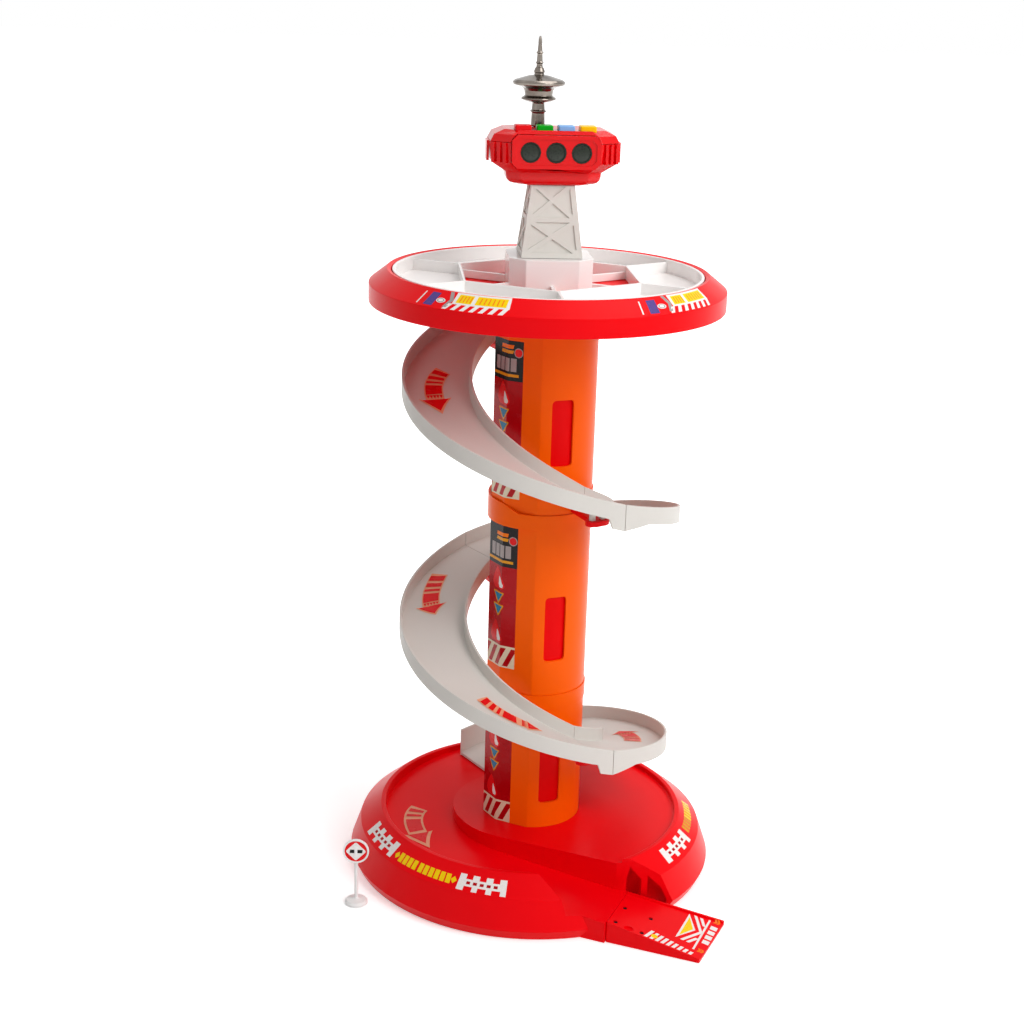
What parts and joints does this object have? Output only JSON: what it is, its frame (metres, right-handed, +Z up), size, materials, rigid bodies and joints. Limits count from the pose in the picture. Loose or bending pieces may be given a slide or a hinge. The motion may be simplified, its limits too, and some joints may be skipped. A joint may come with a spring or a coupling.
{
  "type": "toy parking garage with lift",
  "caption": "Toy parking tower: base with a sunken track, column with a lift, spiral ramps, turning parking deck and a control pod with press buttons and an antenna.",
  "frame": {"origin": "centre of the base's foot on the ground, on the axis of the column", "axes": "+Z up along the column, -Y towards the front with the windows and the pod's panel, +X towards the exit plate"},
  "size_m": [0.3065, 0.3248, 0.6708],
  "materials": {
    "red_plastic": "satin moulded",
    "red_housing": "high gloss",
    "orange_plastic": "satin moulded with a printed strip",
    "window_red": "satin moulded",
    "grey_plastic": "fine matt moulded",
    "mast_grey": "fine matt moulded",
    "white_plastic": "gloss moulded",
    "sign_face": "gloss with a printed red ring and a diamond",
    "dark_lens": "high gloss, almost opaque",
    "dark_chrome": "smoked metallised",
    "steel": "zinc plated",
    "board_green": "solder mask",
    "black_plastic": "matt",
    "button_red": "satin moulded",
    "button_green": "satin moulded",
    "button_blue": "satin moulded",
    "button_yellow": "satin moulded"
  },
  "bodies": {
    "tower": {"base": "red_plastic", "exit_plate": "red_plastic", "bracket_top": "red_plastic", "bracket_upper": "red_plastic", "bracket_middle": "red_plastic", "bracket_lower": "red_plastic", "deck": "red_plastic", "column_lower": "orange_plastic", "column_middle": "orange_plastic", "column_upper": "orange_plastic", "top_cap": "orange_plastic", "liner_lower": "window_red", "liner_middle": "window_red", "liner_upper": "window_red", "ramp_upper": "grey_plastic", "ramp_lower": "grey_plastic", "landing_top": "grey_plastic", "landing_upper": "grey_plastic", "landing_lower": "grey_plastic", "sign_post": "white_plastic", "sign_disc": "sign_face", "wheel_washer": "steel", "wheel_screw": "steel"},
    "carousel": {"wheel": "white_plastic", "mast": "mast_grey", "mast_screw_left": "steel", "mast_screw_right": "steel", "pod_lower": "red_housing", "pod_upper": "red_housing", "pod_panel": "red_housing", "lens_left": "dark_lens", "lens_middle": "dark_lens", "lens_right": "dark_lens", "antenna": "dark_chrome", "circuit_board": "board_green", "board_screw_left": "steel", "board_screw_right": "steel", "speaker": "black_plastic", "battery_holder": "black_plastic", "cell_1": "steel", "cell_2": "steel", "cell_3": "steel", "battery_door": "red_housing", "door_screw": "steel"},
    "lift": {"lift_car": "white_plastic", "lift_knob": "red_plastic"},
    "button_red": {"button_red": "button_red"},
    "button_green": {"button_green": "button_green"},
    "button_blue": {"button_blue": "button_blue"},
    "button_yellow": {"button_yellow": "button_yellow"}
  },
  "joints": [
    {"name": "carousel_turn", "type": "hinge", "parent": "tower", "child": "carousel", "pos_m": [0, 0, 0.4844], "axis": [0, 0, 1], "continuous": true},
    {"name": "lift_slide", "type": "slide", "parent": "tower", "child": "lift", "axis": [0, 0, 1], "range_m": [0, 0.4068]},
    {"name": "button_red_press", "type": "slide", "parent": "carousel", "child": "button_red", "axis": [0, 0, -1], "range_m": [0, 0.002], "stiffness_N_per_m": 150, "springref_m": -0.001},
    {"name": "button_green_press", "type": "slide", "parent": "carousel", "child": "button_green", "axis": [0, 0, -1], "range_m": [0, 0.002], "stiffness_N_per_m": 150, "springref_m": -0.001},
    {"name": "button_blue_press", "type": "slide", "parent": "carousel", "child": "button_blue", "axis": [0, 0, -1], "range_m": [0, 0.002], "stiffness_N_per_m": 150, "springref_m": -0.001},
    {"name": "button_yellow_press", "type": "slide", "parent": "carousel", "child": "button_yellow", "axis": [0, 0, -1], "range_m": [0, 0.002], "stiffness_N_per_m": 150, "springref_m": -0.001}
  ]
}
